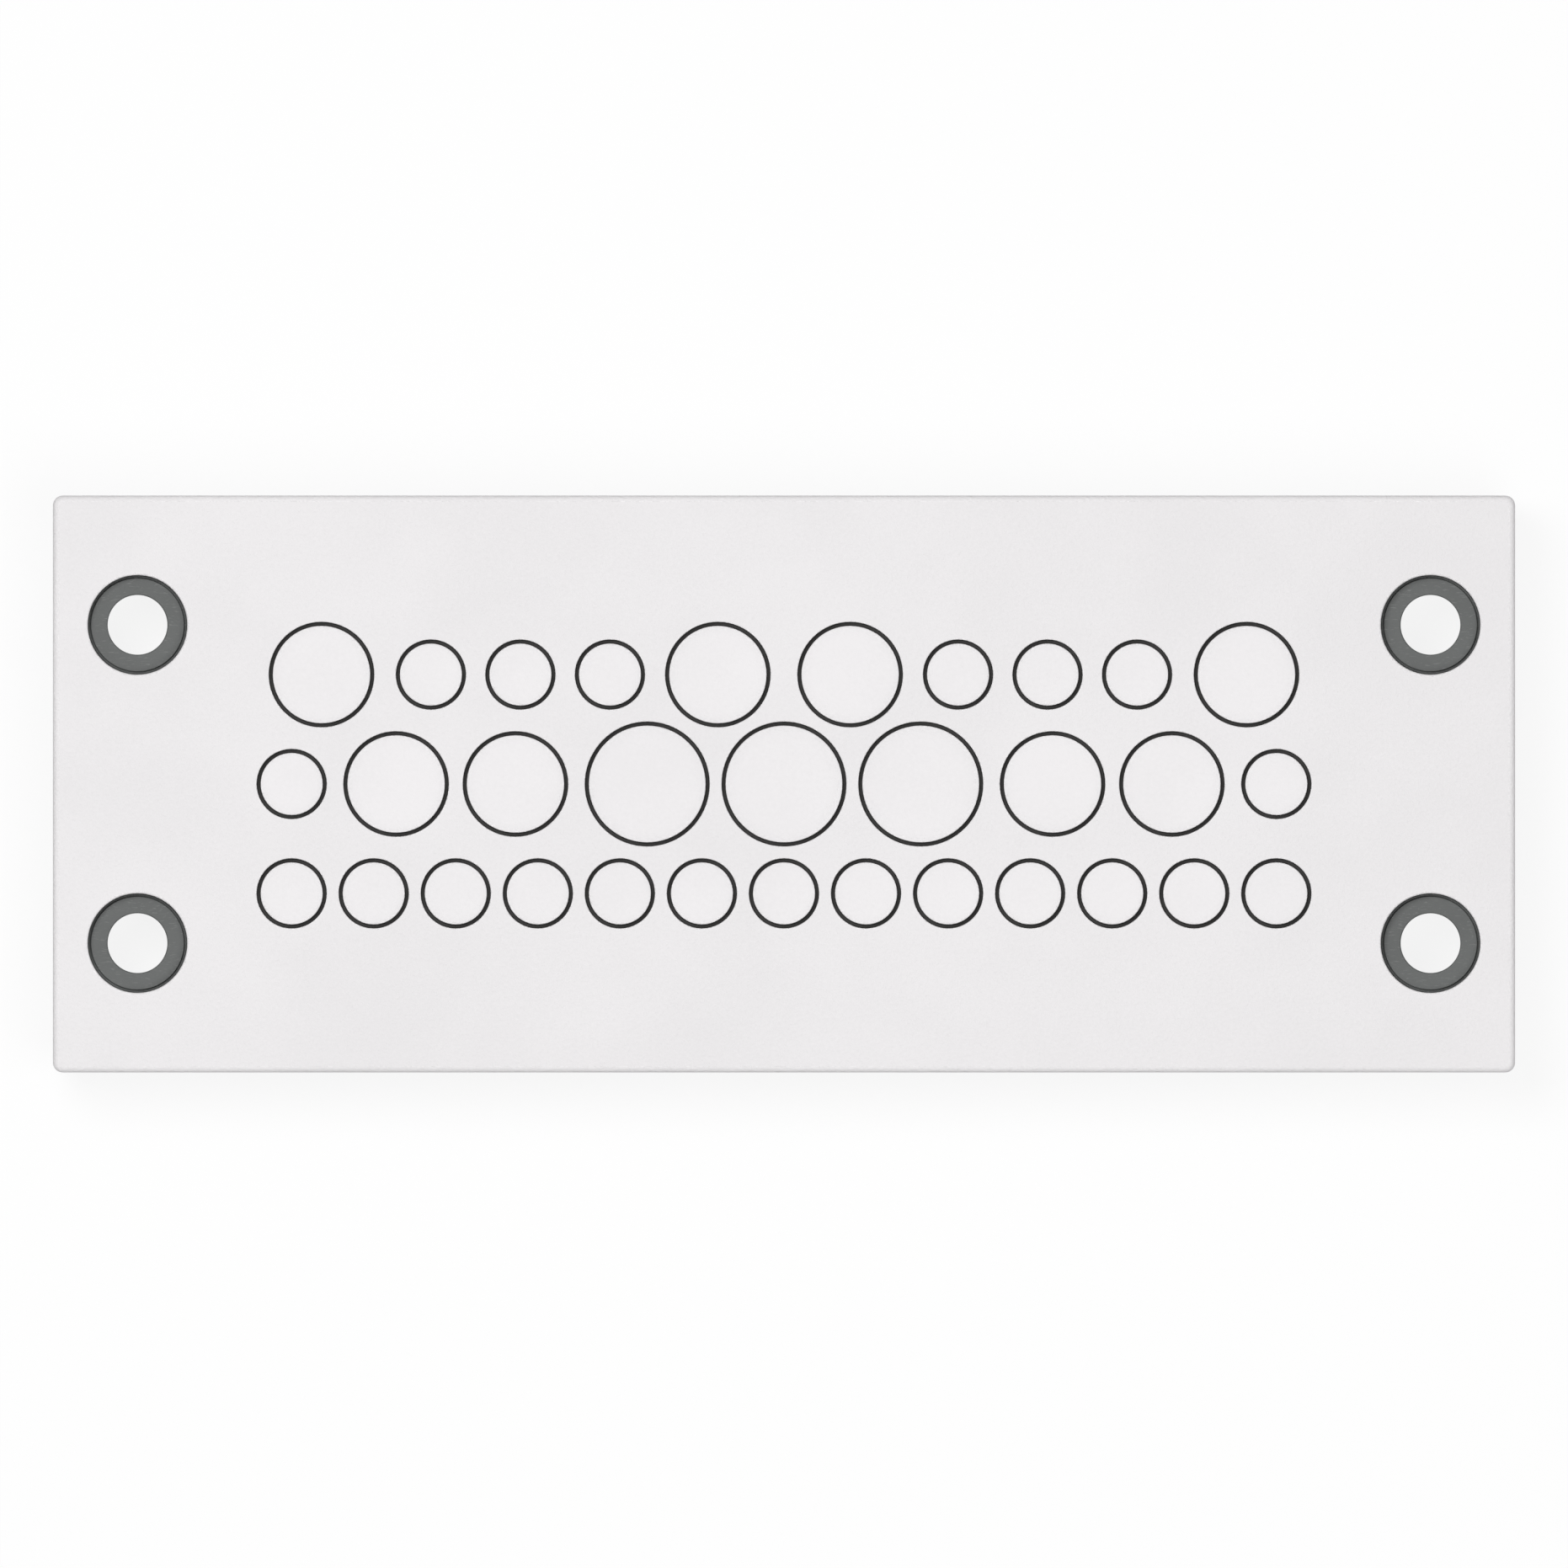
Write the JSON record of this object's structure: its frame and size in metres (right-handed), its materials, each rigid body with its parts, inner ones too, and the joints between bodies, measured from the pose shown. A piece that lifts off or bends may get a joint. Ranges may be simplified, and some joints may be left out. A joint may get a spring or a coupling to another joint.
{
  "type": "cable entry plate",
  "caption": "Flat rectangular plate with a stiff core and a soft mat of pierceable membranes that seals cables where they pass through a panel cut-out.",
  "frame": {"origin": "centre of the four screw holes, in the plane where the plate meets the panel", "axes": "+Z out of the front face away from the panel, +X along the plate, +Y across it towards the row of entries with medium entries at both ends"},
  "size_m": [0.147, 0.058, 0.014],
  "materials": {
    "core": "dark grey glass-filled polyamide, fine moulded texture",
    "elastomer": "light grey elastomer, fine matt moulded texture"
  },
  "bodies": {
    "root": {"core_plate": "core", "membrane_mat": "elastomer"}
  },
  "joints": []
}
